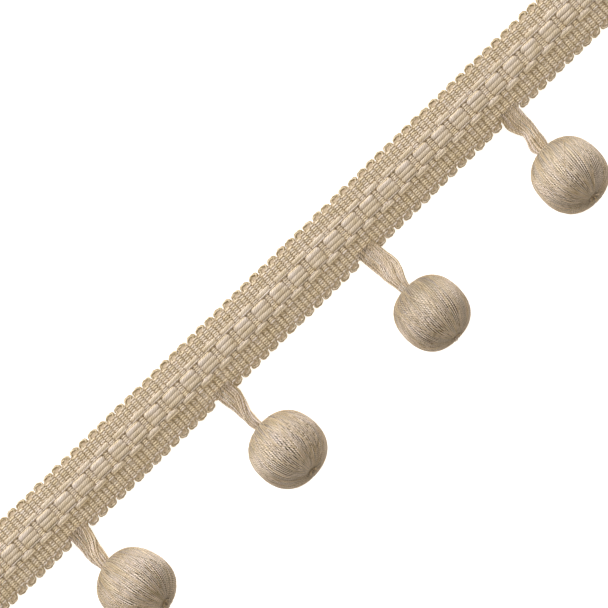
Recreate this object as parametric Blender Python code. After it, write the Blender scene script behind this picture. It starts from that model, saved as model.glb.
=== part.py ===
"""Beaded fringe: a woven braid heading, four yarn hangers and four thread-wound beads.

The fringe lies face up on a flat surface. Metres, +Z up, +X along the braid, +Y to its plain edge.
The origin is the middle of the braid's flat back. The beads lie to -Y, each on a small flat spot.
"""

import math

import bpy
import bmesh
import numpy as np
from mathutils import Matrix, Vector

MM = 0.001
GAP = 0.3 * MM

# The braid, counted in picks: one pick is one crossing of the thick weft cord.
PICK_PITCH = 1.655 * MM
PICKS = 152
PICKS_PER_DROP = 32
DROPS = 4
LENGTH = PICKS * PICK_PITCH
ROOT_HALF_PICKS = 2

# Lines of points across the braid, from its plain edge to its drop edge.
# Columns: distance from the middle in mm, what the line belongs to.
BRAID_LINES = (
    (9.24, "loop_edge"),
    (8.75, "loop_top"),
    (7.90, "loop_eye"),
    (4.70, "rib"),
    (4.40, "outer_float"),
    (3.05, "outer_float"),
    (2.75, "middle_float"),
    (-1.42, "middle_float"),
    (-1.72, "outer_float"),
    (-3.35, "outer_float"),
    (-3.65, "rib"),
    (-7.20, "loop_eye"),
    (-8.75, "loop_top"),
    (-9.24, "loop_edge"),
)
ROOT_LINES = (("loop_eye", -6.90), ("loop_top", -7.30), ("loop_edge", -7.60))
LOOP_VALLEY = 0.55 * MM
ROOT_CORNER = -8.15 * MM
ROOT_CORNER_FOOT = -8.25 * MM
BESIDE = PICK_PITCH / 4

# Heights of the braid's face above its flat back. The ribs climb by the crown from the braid's
# edges to its middle. A float shows for FLOAT_REACH picks to each side of its middle.
RIB_CREST = 1.15 * MM
RIB_VALLEY = 0.75 * MM
CROWN = 0.60 * MM
LOOP_CREST = 1.10 * MM
LOOP_GAP = 0.75 * MM
LOOP_EYE = 0.60 * MM
LOOP_ROUNDING = 1.6
EDGE_HEIGHT = 0.45 * MM
MIDDLE_FLOAT_CREST = 2.15 * MM
OUTER_FLOAT_CREST = 1.95 * MM
FLOAT_BEND = 0.06 * MM
FLOAT_REACH = 1.25

# The beads. x_off is from the middle of the bead's own skein root. polar is the pole radius
# over the radius round the middle. nod is how far the lower pole tips up, turn how far it swings.
BEADS = (
    dict(x_off=1.02, y=-28.40, diameter=20.3, polar=1.0, nod=23, turn=17),
    dict(x_off=1.71, y=-30.35, diameter=20.7, polar=0.94, nod=21, turn=5),
    dict(x_off=0.98, y=-31.04, diameter=19.75, polar=0.985, nod=14, turn=1),
    dict(x_off=-0.62, y=-30.35, diameter=20.0, polar=0.99, nod=25, turn=1),
)

# A bead is this share of its radius fuller at its shoulders, and flatter round its middle.
BEAD_SHOULDER = 0.03
FLAT_SPOT_DEPTH = 0.25 * MM
BEAD_MERIDIANS = 26
BEAD_RINGS = (6, 11, 16, 22, 32, 45, 60, 75, 90, 105, 120, 135, 147, 157, 165, 170, 173, 176.5)

# The dimples at the two poles: the wide one that the skein goes in, and the small one of the hole.
SEAT_DIMPLE_DEPTH = 1.8 * MM
SEAT_DIMPLE_SPREAD = math.radians(13)
HOLE_DIMPLE_DEPTH = 1.2 * MM
HOLE_DIMPLE_SPREAD = math.radians(7)

# The hangers: each a flat skein of yarns. left and right are its edges in mm from the middle of its
# root, at each of HANGER_STATIONS. twist is how much of a turn its yarns make round it on the way
# to the bead.
HANGER_STATIONS = (0.0, 0.15, 0.30, 0.45, 0.60, 0.80, 1.0)
HANGERS = (
    dict(
        left=(-2.7, -3.45, -3.6, -3.85, -3.7, -3.1, -2.75),
        right=(2.3, 2.35, 1.85, 1.45, 1.25, 0.9, 0.15),
        twist=0.10,
    ),
    dict(
        left=(-2.5, -2.3, -1.95, -1.7, -1.6, -1.45, -0.75),
        right=(2.7, 3.5, 3.1, 2.6, 2.0, 1.8, 2.15),
        twist=0.25,
    ),
    dict(
        left=(-2.6, -2.6, -2.3, -2.1, -2.05, -1.45, -1.05),
        right=(2.7, 3.8, 4.3, 4.45, 4.0, 2.75, 1.95),
        twist=-0.15,
    ),
    dict(
        left=(-2.7, -3.6, -2.95, -2.25, -2.7, -3.45, -2.4),
        right=(2.4, 2.6, 2.55, 2.3, 1.95, 1.65, 0.6),
        twist=0.25,
    ),
)
HANGER_PULL = 0.4
HANGER_RINGS = 15
HANGER_YARNS = 12
HANGER_THICKNESS = (1.50 * MM, 2.50 * MM)
YARN_RIDGE = 0.15 * MM
YARN_SPREAD = 0.2
ROOT_HEIGHT = 0.80 * MM
HANGER_ROOT_Y = -7.60 * MM - GAP
SEAT_DEPTH = 0.75 * MM
SECTION_SQUARENESS = 0.75
SLOPE_STEP = 0.01

BRAID_COLOUR = (0.56, 0.46, 0.34, 1.0)
YARN_COLOUR = (0.58, 0.48, 0.35, 1.0)
THREAD_COLOUR = (0.60, 0.50, 0.37, 1.0)
SMOOTH_ANGLE = math.radians(50)


def clear_scene():
    """Removes whatever the file opened with."""
    for thing in list(bpy.data.objects):
        bpy.data.objects.remove(thing, do_unlink=True)


def thread_material(name, colour, roughness):
    """A plain matt material for cotton or thread."""
    material = bpy.data.materials.new(name)
    material.use_nodes = True
    shader = material.node_tree.nodes["Principled BSDF"]
    shader.inputs["Base Color"].default_value = colour
    shader.inputs["Roughness"].default_value = roughness
    shader.inputs["Metallic"].default_value = 0.0
    return material


def add_object(name, mesh, material):
    """Puts a finished mesh into the scene as one smooth-shaded piece."""
    mesh.shade_smooth()
    mesh.set_sharp_from_angle(angle=SMOOTH_ANGLE)
    mesh.materials.append(material)
    piece = bpy.data.objects.new(name, mesh)
    bpy.context.scene.collection.objects.link(piece)
    return piece


def drop_middles():
    """The places along the braid of the middles of the four skein roots."""
    pitch = PICKS_PER_DROP * PICK_PITCH
    return [(n - (DROPS - 1) / 2) * pitch for n in range(DROPS)]


# The braid


def in_a_root(x):
    """True where the drop edge has a skein's root in place of its loops."""
    reach = ROOT_HALF_PICKS * PICK_PITCH
    return any(abs(x - middle) < reach - BESIDE for middle in drop_middles())


def beside_a_root(x):
    """True at the two gaps where the loops stop beside a skein's root."""
    reach = ROOT_HALF_PICKS * PICK_PITCH
    return any(abs(abs(x - middle) - reach) < BESIDE for middle in drop_middles())


def picks_from_float_middle(half_pick, middle_row):
    """Picks from this place to the middle of the nearest float, 0 to 2.

    Floats repeat every four picks, and the middle row's are two picks along from the others."""
    place = half_pick / 2 - 0.5
    start = 5 if middle_row else 3
    along = (place - start) % 4
    return min(along, 4 - along)


def loop_share(half_pick, at_drop_edge):
    """1 at the middle of an edge loop, 0 in the gap between two, 0.5 over each of its two picks.

    Each loop joins two picks, and the loops of the two edges are one pick out of step."""
    along = half_pick % 4 if at_drop_edge else (half_pick + 2) % 4
    return (0.0, 0.5, 1.0, 0.5)[along]


def face_point(x, half_pick, line):
    """The point of the braid's face on one line across, over one half-pick along.

    Over the ribs it is high on a pick and low between two, and higher by a parabola across the
    braid, the crown. Over a float it is highest above the float's middle and bends down in a
    parabola towards the pick that binds it."""
    distance, zone = BRAID_LINES[line]
    y = distance * MM
    on_pick = half_pick % 2 == 1
    half_width = BRAID_LINES[0][0] * MM
    rib_height = (RIB_CREST if on_pick else RIB_VALLEY) + CROWN * (1 - (y / half_width) ** 2)
    drop_edge = y < 0
    share = loop_share(half_pick, drop_edge)
    if zone.endswith("float"):
        middle_row = zone == "middle_float"
        away = picks_from_float_middle(half_pick, middle_row)
        crest = MIDDLE_FLOAT_CREST if middle_row else OUTER_FLOAT_CREST
        return y, crest - FLOAT_BEND * away**2 if away < FLOAT_REACH else rib_height
    if zone == "rib":
        return y, rib_height
    if drop_edge and in_a_root(x):
        return dict(ROOT_LINES)[zone] * MM, EDGE_HEIGHT if zone == "loop_edge" else rib_height
    if zone == "loop_eye":
        return y, LOOP_EYE if share == 1.0 else rib_height
    at_edge = zone == "loop_edge"
    if drop_edge and beside_a_root(x):
        y = ROOT_CORNER_FOOT if at_edge else ROOT_CORNER
    else:
        valley = LOOP_VALLEY if at_edge else LOOP_VALLEY / 2
        y -= math.copysign(valley * (1 - share) ** 2, y)
    loop_height = LOOP_GAP + (LOOP_CREST - LOOP_GAP) * min(1, LOOP_ROUNDING * share)
    return y, EDGE_HEIGHT if at_edge else loop_height


def make_braid(material):
    """The heading: lines of points across its face, one column each half pick, over a flat back."""
    lines = len(BRAID_LINES)
    points = []
    for half_pick in range(2 * PICKS + 1):
        x = (half_pick / 2 - PICKS / 2) * PICK_PITCH
        column = [(x, *face_point(x, half_pick, line)) for line in range(lines)]
        low, high = column[-1][1], column[0][1]
        points += column + [(x, low, 0.0), (x, high, 0.0)]
    around = lines + 2
    faces = []
    for column in range(2 * PICKS):
        start = column * around
        for step in range(around):
            after = (step + 1) % around
            faces.append((start + step, start + after, start + around + after, start + around + step))
    faces.append(tuple(reversed(range(around))))
    last = 2 * PICKS * around
    faces.append(tuple(range(last, last + around)))
    mesh = bpy.data.meshes.new("braid")
    mesh.from_pydata(points, [], faces)
    return add_object("braid", mesh, material)


# Rings of points made into one closed skin


def mesh_of_rings(name, rings, first_pole=None, last_pole=None):
    """A closed skin over rings of as many points each, with a pole or a flat cap at either end."""
    count = len(rings[0])
    points = [tuple(point) for ring in rings for point in ring]
    faces = []
    for ring in range(len(rings) - 1):
        for step in range(count):
            after = (step + 1) % count
            a, b = ring * count + step, ring * count + after
            faces.append((a, b, b + count, a + count))
    ends = ((0, first_pole, False), ((len(rings) - 1) * count, last_pole, True))
    for start, pole, at_end in ends:
        rim = list(range(start, start + count))
        if pole is None:
            faces.append(tuple(rim if at_end else reversed(rim)))
            continue
        points.append(tuple(pole))
        tip = len(points) - 1
        for step in range(count):
            a, b = rim[step], rim[(step + 1) % count]
            faces.append((a, b, tip) if at_end else (b, a, tip))
    mesh = bpy.data.meshes.new(name)
    mesh.from_pydata(points, [], faces)
    skin = bmesh.new()
    skin.from_mesh(mesh)
    bmesh.ops.recalc_face_normals(skin, faces=skin.faces)
    skin.to_mesh(mesh)
    skin.free()
    return mesh


# The beads


def bead_radius(angle, row):
    """Distance from a bead's middle to its wound skin, at an angle from its axis.

    An ellipse of revolution, drawn in round its middle and its poles and full at its shoulders
    by a fourfold cosine, less a bell-shaped dimple at each pole."""
    side = row["diameter"] / 2 * MM
    pole = side * row["polar"]
    egg = 1 / math.hypot(math.sin(angle) / side, math.cos(angle) / pole)
    seat = SEAT_DIMPLE_DEPTH * math.exp(-((angle / SEAT_DIMPLE_SPREAD) ** 2))
    hole = HOLE_DIMPLE_DEPTH * math.exp(-(((math.pi - angle) / HOLE_DIMPLE_SPREAD) ** 2))
    return egg * (1 - BEAD_SHOULDER * math.cos(4 * angle)) - seat - hole


def bead_turning(row):
    """The turn that swings a bead's lower pole sideways and tips it up off the surface."""
    swing = Matrix.Rotation(math.radians(row["turn"]), 3, "Z")
    tip = Matrix.Rotation(math.radians(-row["nod"]), 3, "X")
    return swing @ tip


def bead_middle(row, root_x):
    """Where the middle of a bead lies, so that its skin dips by the flat spot's depth under z 0.

    Its height over its lowest point is the farthest that its tipped outline reaches down."""
    tipped = math.radians(row["nod"])
    angles = np.radians(np.arange(0, 181))
    height = max(bead_radius(angle, row) * math.sin(angle + tipped) for angle in angles)
    return Vector((root_x + row["x_off"] * MM, row["y"] * MM, height - FLAT_SPOT_DEPTH))


def make_bead(name, row, root_x, material):
    """A wound ball with a dimple at each pole, turned round its axis, with a small flat spot."""
    rings = []
    for degrees in BEAD_RINGS:
        angle = math.radians(degrees)
        radius = bead_radius(angle, row)
        around = np.linspace(0, 2 * math.pi, BEAD_MERIDIANS, endpoint=False)
        across = radius * math.sin(angle)
        along = np.full(BEAD_MERIDIANS, radius * math.cos(angle))
        rings.append(np.column_stack((across * np.sin(around), along, across * np.cos(around))))
    top = (0.0, bead_radius(0.0, row), 0.0)
    bottom = (0.0, -bead_radius(math.pi, row), 0.0)
    mesh = mesh_of_rings(name, rings, top, bottom)
    middle = bead_middle(row, root_x)
    turning = bead_turning(row)
    skin = bmesh.new()
    skin.from_mesh(mesh)
    down = turning.transposed() @ Vector((0, 0, -1))
    everything = skin.verts[:] + skin.edges[:] + skin.faces[:]
    cut = bmesh.ops.bisect_plane(
        skin, geom=everything, plane_co=down * middle.z, plane_no=down, clear_outer=True
    )
    rim = [part for part in cut["geom_cut"] if isinstance(part, bmesh.types.BMEdge)]
    bmesh.ops.edgeloop_fill(skin, edges=rim)
    bmesh.ops.recalc_face_normals(skin, faces=skin.faces)
    skin.to_mesh(mesh)
    skin.free()
    bead = add_object(name, mesh, material)
    bead.location = middle
    bead.rotation_euler = turning.to_euler()
    return bead


# The hangers


def smooth_through(values, place):
    """A smooth curve through values given at HANGER_STATIONS, read at a place from 0 to 1."""
    last = len(HANGER_STATIONS) - 1
    step = min(int(np.searchsorted(HANGER_STATIONS, place, side="right")) - 1, last - 1)
    span = HANGER_STATIONS[step + 1] - HANGER_STATIONS[step]
    share = (place - HANGER_STATIONS[step]) / span
    slopes = np.gradient(np.array(values, float), np.array(HANGER_STATIONS))
    a, b = values[step], values[step + 1]
    rise_a, rise_b = slopes[step] * span, slopes[step + 1] * span
    square, cube = share**2, share**3
    return (
        (2 * cube - 3 * square + 1) * a
        + (cube - 2 * square + share) * rise_a
        + (3 * square - 2 * cube) * b
        + (cube - square) * rise_b
    )


def hanger_run(row, bead_row, root_x, place):
    """The middle of a skein at a place from 0 at its root to 1 at its seat in the bead's dimple.

    A cubic curve that leaves the braid level and enters the bead along the bead's axis, moved
    along the braid to midway between the skein's edges."""
    turning = bead_turning(bead_row)
    towards_root = turning @ Vector((0, 1, 0))
    pole = bead_row["diameter"] / 2 * MM * bead_row["polar"]
    seat = bead_middle(bead_row, root_x) + towards_root * (pole - SEAT_DEPTH)
    root = Vector((root_x, HANGER_ROOT_Y, ROOT_HEIGHT))
    pull = (seat - root).length * HANGER_PULL
    level = root + Vector((0, -pull, 0))
    entering = seat + towards_root * pull
    rest = 1 - place
    middle = (
        root * rest**3 + level * 3 * rest**2 * place + entering * 3 * rest * place**2 + seat * place**3
    )
    edges = smooth_through(row["left"], place) + smooth_through(row["right"], place)
    middle.x = root_x + edges / 2 * MM
    return middle


def hanger_ring(row, bead_row, root_x, place):
    """One section of a skein: a flat oval with a ridge for each yarn, moved round by the twist.

    The oval is a superellipse. Its corners are spread by a double sine so that they lie about
    evenly across its broad faces."""
    before = hanger_run(row, bead_row, root_x, max(0.0, place - SLOPE_STEP))
    after = hanger_run(row, bead_row, root_x, min(1.0, place + SLOPE_STEP))
    forward = (after - before).normalized()
    side = (Vector((1, 0, 0)) - forward * forward.x).normalized()
    up = forward.cross(side)
    middle = hanger_run(row, bead_row, root_x, place)
    half_width = (smooth_through(row["right"], place) - smooth_through(row["left"], place)) / 2 * MM
    flat, round_ = HANGER_THICKNESS
    half_height = (flat + (round_ - flat) * place) / 2
    ring = []
    for corner in range(2 * HANGER_YARNS):
        even = 2 * math.pi * (corner / (2 * HANGER_YARNS) + row["twist"] * place)
        angle = even + YARN_SPREAD * math.sin(2 * even)
        groove = 0 if corner % 2 else 2 * YARN_RIDGE
        across = math.copysign(abs(math.cos(angle)) ** SECTION_SQUARENESS, math.cos(angle))
        raised = math.copysign(abs(math.sin(angle)) ** SECTION_SQUARENESS, math.sin(angle))
        to_side = side * across * (half_width - groove)
        to_face = up * raised * (half_height - groove)
        ring.append(middle + to_side + to_face)
    return ring


def make_hanger(name, row, bead_row, root_x, material):
    """One skein: ridged sections along its run, closed by a flat cap at root and seat."""
    places = np.linspace(0, 1, HANGER_RINGS)
    rings = [hanger_ring(row, bead_row, root_x, float(place)) for place in places]
    return add_object(name, mesh_of_rings(name, rings), material)


def main():
    clear_scene()
    make_braid(thread_material("braid_cotton", BRAID_COLOUR, 0.85))
    yarn = thread_material("hanger_yarn", YARN_COLOUR, 0.80)
    thread = thread_material("bead_thread", THREAD_COLOUR, 0.65)
    rows = zip(drop_middles(), HANGERS, BEADS)
    for number, (root_x, hanger_row, bead_row) in enumerate(rows, start=1):
        make_hanger(f"hanger_{number}", hanger_row, bead_row, root_x, yarn)
        make_bead(f"bead_{number}", bead_row, root_x, thread)


main()
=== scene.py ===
"""Beaded fringe, dressed: the braid's weft, warps and floats, four yarn skeins and four wound beads.

Every yarn is a profile carried along a path. Paths are worked out in millimetres, as whole arrays, and
put into meshes in metres. +X runs along the braid, +Y to its plain edge and +Z out of its face.
Picks are the crossings of the thick weft cord. A place along the braid is counted in picks from 0.
"""

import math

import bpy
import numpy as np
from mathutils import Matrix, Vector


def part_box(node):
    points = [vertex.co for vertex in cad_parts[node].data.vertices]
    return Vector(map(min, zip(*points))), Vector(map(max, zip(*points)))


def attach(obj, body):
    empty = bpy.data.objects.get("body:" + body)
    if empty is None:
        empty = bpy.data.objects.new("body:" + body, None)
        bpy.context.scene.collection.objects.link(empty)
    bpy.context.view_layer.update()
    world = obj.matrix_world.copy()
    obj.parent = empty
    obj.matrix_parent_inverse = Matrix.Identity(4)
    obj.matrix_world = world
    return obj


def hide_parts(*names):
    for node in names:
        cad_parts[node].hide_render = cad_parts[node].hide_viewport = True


bl_info = {
    "name": "Beaded fringe",
    "version": (1, 0, 0),
    "blender": (4, 5, 0),
    "location": "3D View > Sidebar > Fringe",
    "description": "Builds the yarns, beads and stage of a beaded fringe round its solid frame",
    "category": "Object",
}

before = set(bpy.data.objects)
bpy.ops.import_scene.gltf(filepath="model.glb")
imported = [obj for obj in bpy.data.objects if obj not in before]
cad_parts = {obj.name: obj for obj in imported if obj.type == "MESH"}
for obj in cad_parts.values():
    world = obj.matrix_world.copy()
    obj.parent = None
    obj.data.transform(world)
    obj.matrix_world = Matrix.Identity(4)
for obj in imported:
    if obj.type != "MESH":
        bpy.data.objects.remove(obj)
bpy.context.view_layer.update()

MM = 0.001
SEED = 11

# The braid, from the frame: its length holds 152 picks, and a drop hangs every 32.
BRAID_LOW, BRAID_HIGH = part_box("braid")
BRAID_LENGTH = (BRAID_HIGH.x - BRAID_LOW.x) / MM
BRAID_WIDTH = (BRAID_HIGH.y - BRAID_LOW.y) / MM
PICKS = 152
PICK_PITCH = BRAID_LENGTH / PICKS
MIDDLE_PICK = (PICKS - 1) / 2
PICKS_PER_DROP = 32
DROPS = 4
ROOT_HALF_PICKS = 2
ROOT_PICKS = [MIDDLE_PICK + (n - (DROPS - 1) / 2) * PICKS_PER_DROP for n in range(DROPS)]

# Heights over the surface that the fringe lies on, in mm. The weft climbs by the crown from the
# braid's edges to its middle.
EDGE_WEFT_HEIGHT = 0.58
CROWN = 0.60
WARP_SWING = 0.47
UNDER_HEIGHT = 0.50
BOUND_LIFT = 0.22

# Where the yarns lie across the braid, in mm from its middle.
UPPER_WARPS = (7.60, 7.27, 6.94, 6.61, 6.28, 5.95, 5.62, 5.29, 4.96, 4.63)
LOWER_WARPS = (-4.05, -4.40, -4.75, -5.08, -5.43, -5.77, -6.10, -6.44, -6.78, -7.12, -7.45)

# The float cords. Columns: y; the pick in each four over which a float is highest; how many picks it
# shows to either side; half its width; half its height; its crest's height; tone, how pale it is, from
# 0 to 1. Lengths are in mm.
FLOATS = (
    (3.84, 3, 1.26, 0.59, 0.29, 1.88, 0.47),
    (1.79, 1, 1.32, 0.69, 0.29, 2.17, 0.26),
    (0.52, 1, 1.33, 0.69, 0.29, 2.15, 0.20),
    (-0.77, 1, 1.32, 0.69, 0.29, 2.13, 0.19),
    (-2.42, 3, 1.26, 0.50, 0.28, 1.95, 0.34),
)
THIN_FLOATS = (
    (3.10, 3, 1.28, 0.27, 0.22, 1.88, 0.41),
    (2.52, 1, 1.22, 0.30, 0.22, 1.94, 0.55),
    (-1.72, 1, 1.22, 0.27, 0.22, 1.98, 0.40),
    (-3.06, 3, 1.30, 0.28, 0.23, 1.88, 0.85),
)

# Fine warps that bind the picks which show between two floats: y in mm, by the bound pick in each four.
BINDERS = {
    1: (4.15, 3.60, 3.05, -2.35, -2.93, -3.51),
    3: (2.20, 1.62, 1.04, 0.46, -0.12, -0.70, -1.28, -1.80),
}

# The skeins. A skein is its left and right edge, in mm from the middle of its root at each of
# EDGE_STATIONS from the braid to the bead, and its groups of yarns, which lie over UNDER_GROUP, an even
# layer of fatter ones. A group is its count of yarns, its tone and, at each of GROUP_STATIONS, where it
# starts and ends as shares of the skein's width, and how far it rides over the skein's middle, in mm.
EDGE_STATIONS = (0.0, 0.15, 0.30, 0.45, 0.60, 0.80, 1.0)
GROUP_STATIONS = (0.0, 0.25, 0.5, 0.75, 1.0)
LEFT, RIGHT = (0.0,) * 5, (1.0,) * 5
UNDER_GROUP = (10, 0.25, LEFT, RIGHT, (-0.20,) * 5)
UNDER_YARN_SIZE = 1.6
SKEINS = (
    (
        (-3.45, -3.45, -3.6, -3.85, -3.7, -3.1, -2.75),
        (2.75, 2.35, 1.85, 1.45, 1.25, 0.9, 0.15),
        (6, 0.35, LEFT, (0.44, 0.4, 0.33, 0.28, 0.25), (0.15, 0.25, 0.2, 0.1, 0.0)),
        (5, 0.4, (0.5, 0.6, 0.7, 0.66, 0.6), (0.8, 0.92, 1.0, 1.0, 1.0), (0.0, -0.1, 0.05, 0.2, 0.2)),
        (6, 0.8, (0.7, 0.56, 0.36, 0.17, 0.08), (1.0, 0.98, 0.76, 0.54, 0.45), (0.2, 0.5, 0.7, 0.6, 0.35)),
    ),
    (
        (-2.6, -2.3, -1.95, -1.7, -1.6, -1.45, -0.75),
        (3.2, 3.5, 3.1, 2.6, 2.0, 1.8, 2.15),
        (7, 0.4, LEFT, (0.54, 0.46, 0.36, 0.38, 0.5), (0.2, 0.3, 0.1, -0.1, -0.1)),
        (5, 0.9, (0.66, 0.72, 0.72, 0.58, 0.5), RIGHT, (0.0, 0.1, 0.25, 0.25, 0.1)),
        (6, 0.55, (0.64, 0.56, 0.26, 0.05, 0.05), (0.98, 0.92, 0.66, 0.5, 0.47),
         (0.05, 0.45, 0.72, 0.6, 0.3)),
    ),
    (
        (-2.85, -2.6, -2.3, -2.1, -2.05, -1.45, -1.05),
        (3.6, 3.8, 4.3, 4.45, 4.0, 2.75, 1.95),
        (5, 0.25, LEFT, (0.3, 0.24, 0.2, 0.22, 0.3), (0.05, 0.0, -0.1, -0.1, 0.0)),
        (6, 0.95, (0.68, 0.7, 0.7, 0.62, 0.5), RIGHT, (0.05, 0.1, 0.1, 0.1, 0.1)),
        (8, 0.5, (0.28, 0.28, 0.09, 0.0, 0.0), (0.88, 0.8, 0.63, 0.54, 0.5), (0.15, 0.45, 0.62, 0.5, 0.3)),
    ),
    (
        (-3.45, -3.7, -2.95, -2.2, -2.7, -3.45, -2.4),
        (2.7, 2.6, 2.55, 2.3, 1.95, 1.65, 0.6),
        (6, 0.15, (0.0, 0.0, 0.06, 0.38, 0.5), (0.4, 0.36, 0.42, 0.66, 0.7), (0.1, 0.1, -0.2, -0.45, -0.4)),
        (6, 0.55, (0.42, 0.36, 0.06, 0.0, 0.0), (0.66, 0.6, 0.44, 0.42, 0.42),
         (-0.35, -0.3, 0.05, 0.35, 0.2)),
        (8, 0.7, (0.44, 0.44, 0.36, 0.4, 0.42), RIGHT, (0.1, 0.2, 0.32, 0.3, 0.2)),
    ),
)
SKEIN_ROOT_Y = -7.9
SKEIN_ROOT_HEIGHT = 1.3
SKEIN_SEAT_DEPTH = 0.75
SKEIN_PULL = 0.4
SKEIN_BEFORE, SKEIN_BEYOND = -0.08, 1.08
SKEIN_SAMPLES, UNDER_SAMPLES = 110, 40
SKEIN_PLY_TURN = 1.2
YARN_WANDER, YARN_BOB = 0.14, 0.12

# The beads: diameter in mm, polar radius over the radius round the middle, how far the lower pole
# tips up and how far it swings, in degrees. Their places come from the frame's boxes.
BEADS = (
    dict(diameter=20.3, polar=1.0, nod=23, turn=17),
    dict(diameter=20.7, polar=0.94, nod=21, turn=5),
    dict(diameter=19.75, polar=0.985, nod=14, turn=1),
    dict(diameter=20.0, polar=0.99, nod=25, turn=1),
)
BEAD_SHOULDER = 0.03
SEAT_DIMPLE_DEPTH, SEAT_DIMPLE_SPREAD = 1.8, math.radians(13)
HOLE_DEPTH, HOLE_SPREAD = 2.1, math.radians(5)
HOLLOW_DEPTH, HOLLOW_SPREAD = 0.35, math.radians(17)
BEAD_RINGS = 70
BEAD_END = math.radians(1.2)
POLE_CROWDING = 0.55

# A bead's threads, in mm and radians: how far they stand up, differ, lean and wander, how uneven the
# ball is, the pleats round its hole, and its loose threads and cut ends.
THREAD_COLUMNS = 3
THREAD_RIDGE, THREAD_STRAY = 0.055, 0.015
THREAD_LEAN, THREAD_WANDER = 0.10, 0.014
BALL_SWELL = 0.04
PLEAT_HEIGHT, PLEAT_MIDDLE, PLEAT_REACH = 0.09, 0.12, 0.08
HOLE_SHADE_REACH = 0.07
LOOSE_THREADS, LOOSE_SLANT, LOOSE_LIFT = 90, 0.34, 0.05
LOOSE_HALF_WIDTH, LOOSE_HALF_HEIGHT = 0.15, 0.10
LOOSE_END = math.radians(9)
THREAD_ENDS = 9

# The photograph's view: the camera looks straight down, turned so that the braid climbs to the right.
VIEW_MIDDLE = (4.96, -5.86)
VIEW_WIDTH = 161.1
VIEW_TURN = math.radians(44.2)
CAMERA_HEIGHT = 1500.0
LIGHT_REACH = 1.1
GLOW_COLOUR = (1.0, 0.975, 0.91, 1.0)


class FringeBraid(bpy.types.PropertyGroup):
    """What the braid and its yarns measure and how they look."""

    cord_width: bpy.props.FloatProperty(
        name="Weft cord", description="Width of the thick weft cord in its edge loops",
        default=1.14 * MM, unit="LENGTH",
    )
    warp_width: bpy.props.FloatProperty(
        name="Warp", description="Width of a fine warp where it lies over a pick",
        default=0.44 * MM, unit="LENGTH",
    )
    unevenness: bpy.props.FloatProperty(
        name="Unevenness", description="How far the picks stray from even places along the braid",
        default=0.045 * MM, unit="LENGTH",
    )
    colour: bpy.props.FloatVectorProperty(
        name="Cotton", description="Colour of the braid's cotton", subtype="COLOR",
        default=(0.73, 0.635, 0.515),
    )


class FringeDrops(bpy.types.PropertyGroup):
    """What the skeins and the wound beads measure and how they look."""

    yarn_width: bpy.props.FloatProperty(
        name="Skein yarn", description="Diameter of a two-ply yarn of the skeins",
        default=0.48 * MM, unit="LENGTH",
    )
    threads: bpy.props.IntProperty(
        name="Threads", description="Threads that show side by side round a bead's middle", default=100,
    )
    yarn_colour: bpy.props.FloatVectorProperty(
        name="Yarn", description="Colour of the skein yarn", subtype="COLOR",
        default=(0.745, 0.63, 0.505),
    )
    thread_colour: bpy.props.FloatVectorProperty(
        name="Thread", description="Colour of the beads' thread", subtype="COLOR",
        default=(0.685, 0.575, 0.45),
    )


class FringeStage(bpy.types.PropertyGroup):
    """The floor, the lights and the camera."""

    floor_colour: bpy.props.FloatVectorProperty(
        name="Floor", description="Colour of the plain floor", subtype="COLOR",
        default=(0.70, 0.70, 0.70),
    )
    key_power: bpy.props.FloatProperty(
        name="Key light", description="Power of the low soft box beyond the plain edge",
        default=15.8, unit="POWER",
    )
    key_colour: bpy.props.FloatVectorProperty(
        name="Key light colour", description="Colour of the low soft box beyond the plain edge",
        subtype="COLOR", default=(0.94, 1.0, 1.14),
    )
    side_power: bpy.props.FloatProperty(
        name="Side lights", description="Power of each low soft box beyond the cut ends",
        default=4.0, unit="POWER",
    )
    sky_colour: bpy.props.FloatVectorProperty(
        name="Room light colour", description="Colour of the even light from all round", subtype="COLOR",
        default=(1.0, 0.93, 0.79),
    )
    sky_strength: bpy.props.FloatProperty(
        name="Room light", description="Strength of the even light from all round", default=0.40,
    )
    table_glow: bpy.props.FloatProperty(
        name="Table glow", description="Light that the back-lit white table gives off", default=0.85,
    )


# Numbers along a yarn


def eased(share):
    """0 below 0, 1 above 1, and three squares less two cubes of the share between."""
    share = np.clip(share, 0.0, 1.0)
    return share * share * (3 - 2 * share)


def drift(rng, rows, places, spacing):
    """A smooth random line for each row: even random values every spacing, eased from one to the next."""
    at = (places - places[0]) / spacing
    knots = rng.uniform(-1, 1, (rows, int(at[-1]) + 3))
    step = at.astype(int)
    share = eased(at - step)
    return knots[:, step] * (1 - share) + knots[:, step + 1] * share


def bell(distance, reach, power=2):
    """1 at no distance and falling away past reach, the more steeply the higher the even power."""
    return np.exp(-((distance / reach) ** power))


def round_turn(count):
    """Angles in radians at even steps round one turn."""
    return np.linspace(0, math.tau, count, endpoint=False)


def through(values, stations, places):
    """A cubic curve through values at stations, with the slopes of the parabolas through neighbours."""
    values, stations = np.array(values, float), np.array(stations)
    slopes = np.gradient(values, stations)
    step = np.clip(np.searchsorted(stations, places, side="right") - 1, 0, len(stations) - 2)
    span = stations[step + 1] - stations[step]
    share = np.clip((places - stations[step]) / span, 0.0, 1.0)
    square, cube = share**2, share**3
    return (
        (2 * cube - 3 * square + 1) * values[step]
        + (cube - 2 * square + share) * slopes[step] * span
        + (3 * square - 2 * cube) * values[step + 1]
        + (cube - square) * slopes[step + 1] * span
    )


def pick_shifts():
    """How far each pick lies from its even place along the braid, the same at every call."""
    spread = bpy.context.scene.fringe_braid.unevenness / MM
    return np.random.default_rng(SEED).normal(0, spread, PICKS)


def along_braid(places):
    """X in mm of places counted in picks: even steps, plus the picks' shifts joined by straight lines."""
    return (places - MIDDLE_PICK) * PICK_PITCH + np.interp(places, np.arange(PICKS), pick_shifts())


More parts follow.
